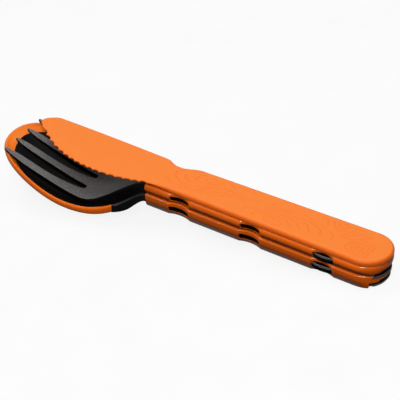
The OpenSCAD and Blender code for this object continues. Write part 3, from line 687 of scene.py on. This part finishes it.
def gripPiece(body, plastic, side):
    h, length, past, cutters = handle, side["length"], handle["cutPast"], []
    for i, c in enumerate(c + side["shift"] for c in hollows):
        window = windowOutline(c, windowZ(i, side), windowTall(i))
        inner, outer = plainHalf(c) - h["wall"] - past, plainHalf(c) + past
        cutters += [prism(window, inner, outer), prism(window, -outer, -inner)]
    low, lip = side["foot"] - past, side["foot"] + side["lipFoot"]
    cutters.append(wedge(length, (low, openingAngle(low)), (lip, openingAngle(lip))))
    cutters.append(wedge(length, (low, h["nailAngle"]), (lip + h["nailHeight"], h["nailAngle"])))
    if side["lipTop"] < side["height"]:
        low, high = side["foot"] + side["lipTop"], side["foot"] + side["height"] + past
        cutters.append(wedge(length, (low, openingAngle(low)), (high, openingAngle(high))))
    bm = cutAway(gripBody(side), cutters)
    finishPiece(body + "_grip_shell", bm, [plastic], body, body + "_grip", 32)


gripPiece("fork", gripPlastic, forkSide)
gripPiece("spoon", footPlastic, spoonSide)
print("grips done")

# what shows of the cores: pads in the windows, scooped blocks at the round end
pad = {
    "radius": 16.0, "proud": 0.08, "sunk": 0.45, "fit": 0.97, "deep": 0.7,
    "alongSteps": 48, "acrossSteps": 64, "edgeDrop": 0.25, "edgePower": 6, "leastRound": 0.01,
    "ribs": 2, "ribPitch": 0.6, "ribDepth": 0.26, "firstRib": 0.1, "ribHighlightFlank": (0.7, 0.9),
}


def padFace(i, x, shift):  # ribbed pads bulge, the others lie in the hollow
    c = hollows[i] + shift
    if i < lastHollow:
        return plainHalf(x) - softDip(x - shift) - pad["sunk"]
    return plainHalf(c) - pad["radius"] + sqrt(pad["radius"] ** 2 - (x - c) ** 2) + pad["proud"]


def ribOut(i, z):  # how far a rib stands out, z above the middle of the pad
    along = (z - pad["firstRib"]) / pad["ribPitch"]
    ribbed = i == lastHollow and 0 < along < pad["ribs"]
    return pad["ribDepth"] * (1 - cos(2 * pi * along)) / 2 if ribbed else 0.0


def padRings(i, side):
    p, corner, reach, radius = pad, handle["windowCorner"], handle["windowLength"] / 2, windowTall(i) / 2
    c, zMid, rings = hollows[i] + side["shift"], windowZ(i, side), []
    for a in spread(-pi / 2, pi / 2, p["alongSteps"]):
        x = c + reach * p["fit"] * sin(a)
        past = max(0.0, abs(x - c) - (reach - corner))
        tall = p["fit"] * (radius - corner + sqrt(max(p["leastRound"], corner ** 2 - past ** 2)))
        face = padFace(i, x, side["shift"])
        ring = []
        for z in spread(-tall, tall, p["acrossSteps"]):
            drop = p["edgeDrop"] * abs(z / radius) ** p["edgePower"]
            ring.append((x, face + ribOut(i, z) - drop, zMid + z))
        rings.append(ring + [(x, face - p["deep"], zMid + tall), (x, face - p["deep"], zMid - tall)])
    return rings


def padBody(side):
    low, high = pad["ribHighlightFlank"]
    bm = bmesh.new()
    spare = bpy.data.meshes.new("spare")
    for i in range(len(hollows)):
        rings = padRings(i, side)
        for way in (1, -1):
            one = bodyOf(*lofted([[(x, way * y, z) for x, y, z in ring] for ring in rings]))
            for face in one.faces:  # the ribs' upper flanks take a light grained grey: a painted highlight
                face.material_index = int(i == lastHollow and low < face.normal.dot(stackZ) < high)
            one.to_mesh(spare)
            one.free()
            bm.from_mesh(spare)
    bpy.data.meshes.remove(spare)
    return bm


block = {
    "proud": 0.05, "ledge": 0.42, "round": 0.15, "roundSteps": 4, "deep": 2.4, "gap": 1.2, "steps": 48,
    "scoop": [(0.3, 0.0), (0.9, 0.1), (1.2, 0.5)], "scoopSteps": 10,  # in from the outside, up from the ledge
    "tuck": 1.4, "midTuck": 0.25, "midShare": 0.5, "play": 0.3, "shadedPast": 0.02,
}


def blockBody(length, low, high, tuck):
    b, mid = block, endMid(length)
    outer = length - mid - handle["endInset"] + b["proud"]
    ledge = mixed(low, high, b["ledge"])
    section = [(outer - b["deep"], low), (outer - tuck, low),
               (outer - b["midTuck"] * tuck, mixed(low, ledge, b["midShare"]))]
    section += [(outer - inset, ledge - drop) for inset, drop in rounded(b["round"], b["roundSteps"])]
    curve = [(outer - x, ledge + z) for x, z in b["scoop"]]
    section += bezPath(curve + [(curve[-1][0], high)], b["scoopSteps"]) + [(outer - b["deep"], high)]
    rings = []
    for turned in spread(-1, 1, b["steps"]):
        ring = []
        for radius, z in section:
            angle = radians(turned * (openingAngle(z) - b["gap"]))
            ring.append((mid + radius * cos(angle), radius * sin(angle), z))
        rings.append(ring)
    bm = bodyOf(*lofted(rings))
    shadedFrom = place(0, 0, ledge + b["shadedPast"]).dot(stackZ)
    for face in bm.faces:  # grain and a lit grey on the ledge, painted light; the smooth black in the scoop above it
        face.material_index = int(face.calc_center_median().dot(stackZ) > shadedFrom)
    return bm


for body, side in (("fork", forkSide), ("spoon", spoonSide)):
    finishPiece(body + "_grip_pads", padBody(side), [padPlastic, ribHighlightPlastic], body, None, 50)
finishPiece("fork_end_block", blockBody(forkLength, spoonNotchZ + block["play"], forkLipZ, 0.0),
            [ledgeLitPlastic, coreSmooth], "fork")
finishPiece("spoon_end_block", blockBody(spoonLength, 0.0, spoonNotchZ - handle["spoonLip"], block["tuck"]),
            [ledgeLitPlastic, coreSmooth], "spoon")
print("pads and end blocks done")

# heads of the fork and the spoon
head = {
    "bellyX": 29.5, "bellyDrop": 12.9, "bellyHold": 0.35, "forkReach": 71.2, "tipRise": 8.95,
    "tipOverhang": 5.3, "tipSink": 0.65, "nestDrop": 2.35, "neckRise": 0.6, "steps": 120,
    "forkHolds": (0.277, 13.8, 6.5, 20.3), "rimHolds": (0.16, 18.0, 6.0, 10.5),  # slope, tip, neck, low
}
forkPlateZ = knifeZ - handle["tray"]
bellyZ = forkPlateZ - head["bellyDrop"]
spoonReach = head["forkReach"] + head["tipOverhang"]
spoonTopZ = handle["spoonHeight"] - handle["tray"]


def headProfile(neckZ, lowZ, reach, tipZ, holds):
    low, run = head["bellyX"], reach - head["bellyX"]
    slope, tipHold, neckHold, lowHold = holds
    front = bezPath([(-low, lowZ), (-low - head["bellyHold"] * run, lowZ),
                     (tipHold - reach, tipZ - slope * tipHold), (-reach, tipZ)], head["steps"])
    rear = bezPath([(0, neckZ), (-neckHold, neckZ), (-lowHold, lowZ), (-low, lowZ)], head["steps"])
    return front[::-1] + rear[::-1][1:]


tipZ = bellyZ + head["tipRise"]
forkProfile = headProfile(forkPlateZ, bellyZ, head["forkReach"], tipZ, head["forkHolds"])
rimProfile = headProfile(spoonTopZ + head["neckRise"], bellyZ - head["nestDrop"], spoonReach,
                         tipZ - head["tipSink"], head["rimHolds"])

fork = {
    "tines": 4, "tineLength": 40.0, "pitch": 8.67, "tineWidth": 3.4, "tipWidth": 1.2, "headWidth": 33.0,
    "neckWidth": 16.0, "bowOut": 0.4, "sideSteps": (40, 30, 30),
    "sideXs": [(5.0, 10.5, 17.5, 26.0), (26.0, 34.0, 41.2, 53.2), (53.2, 61.2, 67.2, 70.6)],
    "slotWidth": 2.9, "slotRoot": (16.0, -0.15), "slotTine": [(-9.0, 0.0), (-4.5, 0.28)],
    "slotTip": (-2.2, -0.35), "slotSteps": 70, "tipSteps": 10, "turnSteps": 16,
    "thick": 2.6, "tipThick": 1.3, "neckThick": 3.4, "thinSpan": (-71.2, -45.2), "neckSpan": (-14.0, 0.0),
    "round": 0.38, "topSteps": 5, "footSteps": 4, "capIn": 0.25, "flatDepth": 10.0,
    "slices": 72, "slicePitch": 0.98, "litFaceFrom": 0.5,
}


def forkThick(x):
    thin = mixed(fork["tipThick"], fork["thick"], eased(*fork["thinSpan"], x))
    return mixed(thin, fork["neckThick"], eased(*fork["neckSpan"], x))


def forkOutline():  # one loop: down one side, in and out of the slots, back up the other
    f, reach, middle = fork, head["forkReach"], (fork["tines"] - 1) / 2
    tineHalf, tipHalf = f["tineWidth"] / 2, f["tipWidth"] / 2
    slotRadius, slotEnd = f["slotWidth"] / 2, reach - f["tineLength"]
    outerY, wide, neck = middle * f["pitch"], f["headWidth"] / 2, f["neckWidth"] / 2
    bow = outerY + tineHalf + f["bowOut"]
    sideYs = [(neck, neck, wide, wide), (wide, wide, bow, bow),
              (bow, bow, outerY + tineHalf, outerY + tipHalf)]
    sideRun = [(-f["sideXs"][0][0], neck)]
    for xs, ys, steps in zip(f["sideXs"], sideYs, f["sideSteps"]):
        sideRun += bezPath([(-x, y) for x, y in zip(xs, ys)], steps)[1:]
    tineGap, tipGap = f["pitch"] / 2 - tineHalf, f["pitch"] / 2 - tipHalf
    halves = [(slotEnd + slotRadius, slotRadius), moved((slotEnd, tineGap), f["slotRoot"])]
    halves += [moved((reach, tineGap), by) for by in f["slotTine"]]
    halves += [moved((reach, tipGap), f["slotTip"]), (reach - tipHalf, tipGap)]

    def slope(k):
        (x0, y0), (x1, y1) = halves[max(0, k - 1)], halves[min(len(halves) - 1, k + 1)]
        return (y1 - y0) / (x1 - x0)

    def slotHalf(x):  # through the listed half widths with an even slope
        for i, ((x0, y0), (x1, y1)) in enumerate(zip(halves, halves[1:])):
            if x <= x1:
                t, run = (x - x0) / (x1 - x0), x1 - x0
                leave, arrive = t ** 3 - 2 * t * t + t, t ** 3 - t * t
                before, after = 2 * t ** 3 - 3 * t * t + 1, 3 * t * t - 2 * t ** 3
                return before * y0 + leave * run * slope(i) + after * y1 + arrive * run * slope(i + 1)
        return halves[-1][1]

    slotXs = spread(halves[0][0], halves[-1][0], f["slotSteps"])

    def tip(y):  # round end of a tine, towards higher y
        return [(-reach + tipHalf - tipHalf * sin(a), y - tipHalf * cos(a))
                for a in spread(0, pi, f["tipSteps"])[1:-1]]

    def slot(y):
        into = [(-x, y - slotHalf(x)) for x in slotXs[::-1]]
        turn = [(-slotEnd - slotRadius + slotRadius * cos(a), y + slotRadius * sin(a))
                for a in spread(-pi / 2, pi / 2, f["turnSteps"])[1:-1]]
        return into + turn + [(x, 2 * y - z) for x, z in into[::-1]]

    loop = [(0.0, -neck)] + [(x, -y) for x, y in sideRun]
    for k in range(f["tines"]):
        loop += tip((k - middle) * f["pitch"])
        if k < f["tines"] - 1:
            loop += slot((k - middle + 0.5) * f["pitch"])
    loop += sideRun[::-1] + [(0.0, neck)]
    return loop[::-1]  # anticlockwise from above


def forkHead():  # a flat plate, sliced across and then bent along the profile
    f, r, flat = fork, fork["round"], fork["flatDepth"]
    loop = forkOutline()
    normals = loopNormals(loop)
    normals[0], normals[-1] = (0.0, 1.0), (0.0, -1.0)
    levels = [(r + f["capIn"], -flat)]
    levels += [(inset, up - flat) for up, inset in rounded(r, f["footSteps"])]
    levels += [(inset, -drop) for inset, drop in rounded(r, f["topSteps"])]
    levels.append((r + f["capIn"], 0.0))
    bm = meshOf(*lofted([[(p[0] - inset * n[0], p[1] - inset * n[1], z) for p, n in zip(loop, normals)]
                         for inset, z in levels]))
    for i in range(1, f["slices"]):
        bmesh.ops.bisect_plane(bm, geom=bm.verts[:] + bm.edges[:] + bm.faces[:],
                               plane_co=(-i * f["slicePitch"], 0, 0), plane_no=(1, 0, 0))
    bmesh.ops.recalc_face_normals(bm, faces=bm.faces)
    for face in bm.faces:  # the upper face takes the moulded grain and a lit grey over the black: painted light; the sides keep the black
        face.material_index = int(face.normal.z <= f["litFaceFrom"])
    for v in bm.verts:
        x, y, z = v.co
        top = tableAt(x, forkProfile)
        v.co = place(x, y, top + z if z > -flat / 2 else top - forkThick(x) + z + flat)
    return bm


def handleCore(body):  # the CAD core behind the neck
    bm = cadPortion(body + "_core", place(0, 0, 0), -stackX)
    finishPiece(body + "_handle_core", bm, [coreSmooth], body, None, 25)


finishPiece("fork_head", forkHead(), [coreLitPlastic, coreSmooth], "fork", "fork_core", 40)
handleCore("fork")
print("fork done")

spoon = {
    "bowlRoom": 4.7, "bowlMid": 41.0, "depth": 8.4, "wall": 2.0, "neckWidth": 18.2,
    "tipBlunt": 0.87, "tipHold": 0.36, "tipStart": 0.012, "backHold": -14.0, "neckHold": -8.0,
    "floorTipDrop": 0.6, "floorFront": [(0, 0), (0.15, 0.45), (0.55, 1), (1, 1)],  # shares of run and depth
    "floorBack": -17.0, "floorNeck": -5.5, "neckFoot": 0.9, "footSpan": (-24.0, 0.0), "flatShare": 1 / 7,
    "square": 2.0, "squarer": 1.2, "squareSpan": (-17.6, -5.0), "neckEdge": 5.5, "edgeSpan": (-19.6, -7.0),
    "edgeLess": 1.7, "lessSpan": (-8.0, 0.0),
    "rimRound": 0.8, "leastRound": 0.02, "roundRun": 1.5, "roundSteps": 6,
    "across": 56, "tipSteps": 70, "backSteps": 80, "neckSteps": 30, "neckGap": 0.05, "litRimPast": 0.4,
}
scraper = {
    "tip": 5.4, "side": 1.4, "end": 13.6, "endClear": 0.3, "endTurn": 8.0, "widthPower": 1.1,
    "height": 2.9, "thin": 0.38, "thinPower": 3, "drop": 0.7, "dropSpan": (-34.0, -13.6),
    "round": 0.75, "lift": (0.08, 0.12, 0.05), "foot": 0.35, "footTurn": (0.7, 0.3), "spanSteps": 4,
}
bowlHalf = fork["headWidth"] / 2 + spoon["bowlRoom"]
neckHalf = spoon["neckWidth"] / 2
bowlMid = -spoon["bowlMid"]
bowlTip = [(-spoonReach, 0), (-spoonReach, spoon["tipBlunt"] * bowlHalf),
           (bowlMid - spoon["tipHold"] * (spoonReach + bowlMid), bowlHalf), (bowlMid, bowlHalf)]
bowlBack = [(bowlMid, bowlHalf), (spoon["backHold"], bowlHalf), (spoon["neckHold"], neckHalf), (0, neckHalf)]
bowlOutline = [bez(bowlTip, t) for t in spread(spoon["tipStart"], 1, spoon["tipSteps"])]
bowlOutline += bezPath(bowlBack, spoon["backSteps"])[1:]


def rimTop(x):
    return tableAt(x, rimProfile)


floorTipX = scraper["tip"] - spoonReach
floorTipZ = rimTop(floorTipX) - spoon["floorTipDrop"]
floorLowZ = rimTop(bowlMid) - spoon["depth"]
floorFront = [(mixed(floorTipX, bowlMid, x), mixed(floorTipZ, floorLowZ, z)) for x, z in spoon["floorFront"]]
floorBack = [(bowlMid, floorLowZ), (spoon["floorBack"], floorLowZ),
             (spoon["floorNeck"], spoonTopZ), (0, spoonTopZ)]
bowlFloor = bezPath(floorFront, head["steps"]) + bezPath(floorBack, head["steps"])[1:]


def insideZ(x, s):  # s runs from 0 in the middle to 1 at the rim
    return mixed(tableAt(x, bowlFloor), rimTop(x), s * s)


def outsideZ(x, s):  # the bowl's wall outside, growing into the squarer neck
    p, flat = spoon, spoon["flatShare"]
    square = p["square"] + p["squarer"] * eased(*p["squareSpan"], x)
    thick = mixed(p["wall"], spoonTopZ - p["neckFoot"], eased(*p["footSpan"], x))
    edge = mixed(p["wall"], p["neckEdge"], eased(*p["edgeSpan"], x))
    edge -= p["edgeLess"] * eased(*p["lessSpan"], x)
    share = (max(0.0, abs(s) - flat) / (1 - flat)) ** square
    return mixed(tableAt(x, bowlFloor) - thick, rimTop(x) - edge, share)


def scraperBand():  # outer points with their directions, widths and inner points
    s, end, edge = scraper, scraper["end"], []
    for i, p in enumerate(bowlOutline):
        if p[0] < -end - s["endClear"]:
            a, b = bowlOutline[max(0, i - 1)], bowlOutline[i + 1]
            n = unit(a[1] - b[1], b[0] - a[0]) if i else (-1.0, 0.0)
            edge.append((p, unit(n[0] * eased(-end, -end - s["endTurn"], p[0]), n[1])))
    edge.append(((-end, tableAt(-end, bowlOutline)), (0.0, 1.0)))
    widths = [mixed(s["side"], s["tip"], max(0.0, -n[0]) ** s["widthPower"]) for p, n in edge]
    inner = [(p[0] - w * n[0], p[1] - w * n[1]) for (p, n), w in zip(edge, widths)]
    return edge, widths, inner


band, bandWidths, bandInner = scraperBand()


def bowlBody():
    p, end = spoon, scraper["end"]
    across, neckXs = spread(-1, 1, p["across"]), spread(p["neckGap"] - end, 0, p["neckSteps"])
    rings = []
    for x, half in bandInner + [(x, tableAt(x, bowlOutline)) for x in neckXs]:
        share = half / tableAt(x, bowlOutline)
        r = mixed(p["leastRound"], p["rimRound"], eased(-end, p["roundRun"] - end, x))
        flat = half - r
        top = insideZ(x, flat / half * share)
        turn = [(half - inset, top - drop) for inset, drop in rounded(r, p["roundSteps"])[:-1]]
        rings.append([(x, a * half, outsideZ(x, a * share)) for a in across] + [(x, y, z) for y, z in turn]
                     + [(x, a * flat, insideZ(x, a * flat / half * share)) for a in across[::-1]]
                     + [(x, -y, z) for y, z in turn[::-1]])
    bm = bodyOf(*lofted(rings))
    count, steps = len(rings[0]), p["roundSteps"]
    rim = [j + i for j in (len(across), 2 * len(across) + steps - 1) for i in range(steps)]
    for i, face in enumerate(bm.faces):  # grain and a lit grey on the rounded rim of the neck: painted light
        if i < count * (len(rings) - 1) and rings[i // count][0][0] > p["litRimPast"] - end:
            face.material_index = int(i % count in rim)
    return bm


def smoothSpan(points, steps):  # Catmull-Rom through open points
    ends = [points[0]] + points + [points[-1]]
    found = [points[0]]
    for four in zip(ends, ends[1:], ends[2:], ends[3:]):
        for t in spread(0, 1, steps)[1:]:
            found.append(tuple(0.5 * (2 * b + (c - a) * t + (2 * a - 5 * b + 4 * c - d) * t * t
                                      + (3 * b - a - 3 * c + d) * t ** 3) for a, b, c, d in zip(*four)))
    return found


def scraperBody():
    p, r, low, rings = scraper, scraper["round"], scraper["foot"], []
    inLift, midLift, outLift = p["lift"]
    turnIn, turnUp = p["footTurn"]
    for (out, n), w, inn in zip(band, bandWidths, bandInner):
        s = inn[1] / tableAt(inn[0], bowlOutline)
        top, inTop, inFoot = rimTop(out[0]), insideZ(inn[0], s), outsideZ(inn[0], s)
        tall = p["height"] * (1 - p["thin"] * max(0.0, -n[0]) ** p["thinPower"])
        foot = top - tall - p["drop"] * eased(*p["dropSpan"], out[0])
        shape = [(w, inTop + inLift), (w / 2, (inTop + top) / 2 + midLift), (r, top + outLift), (0, top - r),
                 (0, foot + 2 * low), (turnIn * low, foot + turnUp * low), (2 * low, foot)]
        shape = smoothSpan(shape, p["spanSteps"]) + [(w, min(inFoot, inTop - spoon["wall"]))]
        rings.append([(out[0] - q * n[0], out[1] - q * n[1], z) for q, z in shape])
    mirrored = [[(x, -y, z) for x, y, z in ring] for ring in rings]
    return bodyOf(*lofted(rings[::-1] + mirrored))


finishPiece("spoon_bowl", bowlBody(), [spoonPlastic, coreLitPlastic], "spoon", "spoon_core", 40)
handleCore("spoon")
finishPiece("spoon_scraper_band", scraperBody(), [scraperPlastic], "spoon",
            "spoon_scraper", 40)
print("spoon done")

# floor, light and camera
floorLook = {
    "size": 12.0, "drop": 0.2, "base": "#FAFAFA", "cloud": "#FFFFFF", "cloudScale": 40.0, "white": 0.9,
    "dim": "#2A2A2A", "shade": "#000000", "reach": 0.05, "samples": 4,
}


def paleFloor():
    look, f = floorLook, Finish(bpy.data.materials.new("pale_floor"))
    where = f.node("TexCoord", {}, {}, "Object")
    tone = f.mix(f.noise(where, look["cloudScale"]), look["base"], look["cloud"])
    lit = f.node("BsdfDiffuse", {}, {"Color": tone})
    clear = f.node("AmbientOcclusion", {"samples": look["samples"]}, {"Distance": look["reach"]}, "AO")
    mirrored = f.node("LightPath", {}, {}, "Is Glossy Ray")  # mirrored, it is dark round the part
    shaded = f.mix(1 - mirrored * (1 - clear * clear), look["shade"], tone)
    glow = f.node("Emission", {}, {"Color": shaded})
    pale = f.node("MixShader", {}, {0: look["white"], 1: lit, 2: glow})
    dim = f.node("BsdfDiffuse", {}, {"Color": look["dim"]})
    return f.surface(f.node("MixShader", {}, {0: f.seen(), 1: dim, 2: pale}))


half = floorLook["size"] / 2
corners = [(-half, -half, 0), (half, -half, 0), (half, half, 0), (-half, half, 0)]
floorPlane = objectOf("floor", meshOf(corners, [(0, 1, 2, 3)]))
floorPlane.data.materials.append(paleFloor())
floorPlane.location.z = -floorLook["drop"] * mm

dome = {"low": "#000000", "high": "#FFFFFF", "most": 0.15}
sky = Finish(bpy.data.worlds.new("studio"))
height = sky.node("SeparateXYZ", {}, {"Vector": sky.node("TexCoord", {}, {}, "Generated")}, "Z")
share = sky.node("MapRange", {}, {"Value": height, "To Max": dome["most"]})
dim = sky.node("Background", {}, {"Color": sky.mix(share, dome["low"], dome["high"])})
white = sky.node("Background", {}, {"Color": dome["high"]})
scene.world = sky.surface(sky.node("MixShader", {}, {0: sky.seen(), 1: dim, 2: white}), "OutputWorld")

lights = {  # position and size in metres, power in watts; all face the middle
    "overhead": ((0.0, 0.14, 0.85), (1.0, 0.7), 3.5),
    "strip": ((-0.36, -0.02, 0.8), (0.5, 0.08), 1.1),
    "key": ((0.3, -0.58, 0.72), (0.3, 0.3), 4.8),
}
for name, (position, size, power) in lights.items():
    data = bpy.data.lights.new(name, "AREA")
    data.shape, data.energy = "RECTANGLE", power
    data.size, data.size_y = size
    lamp = shown(name, data)
    lamp.location = position
    lamp.rotation_euler = (-Vector(position)).to_track_quat("-Z", "Y").to_euler()

photo = {
    "turn": 32.25, "rise": 36.0, "distance": 1008.0, "target": (27.5, -8.946, 13.4),
    "lens": 216.0, "sensor": 36.0, "clip": 0.01,
}
turn, rise = radians(photo["turn"]), radians(photo["rise"])
back = (sin(turn) * cos(rise), -cos(turn) * cos(rise), sin(rise))
away = (stackX * back[0] + stackZ * back[2] + Vector((0, back[1], 0))).normalized()
right = stackZ.cross(away).normalized()
up = away.cross(right)
stand = place(*photo["target"]) + away * photo["distance"] * mm
cameraData = bpy.data.cameras.new("camera")
cameraData.lens, cameraData.sensor_width = photo["lens"], photo["sensor"]
cameraData.clip_start = photo["clip"]
scene.camera = shown("camera", cameraData)
scene.camera.matrix_world = Matrix([(right[i], up[i], away[i], stand[i]) for i in range(3)] + [(0, 0, 0, 1)])
scene.view_settings.view_transform = "Standard"
print("stage set")
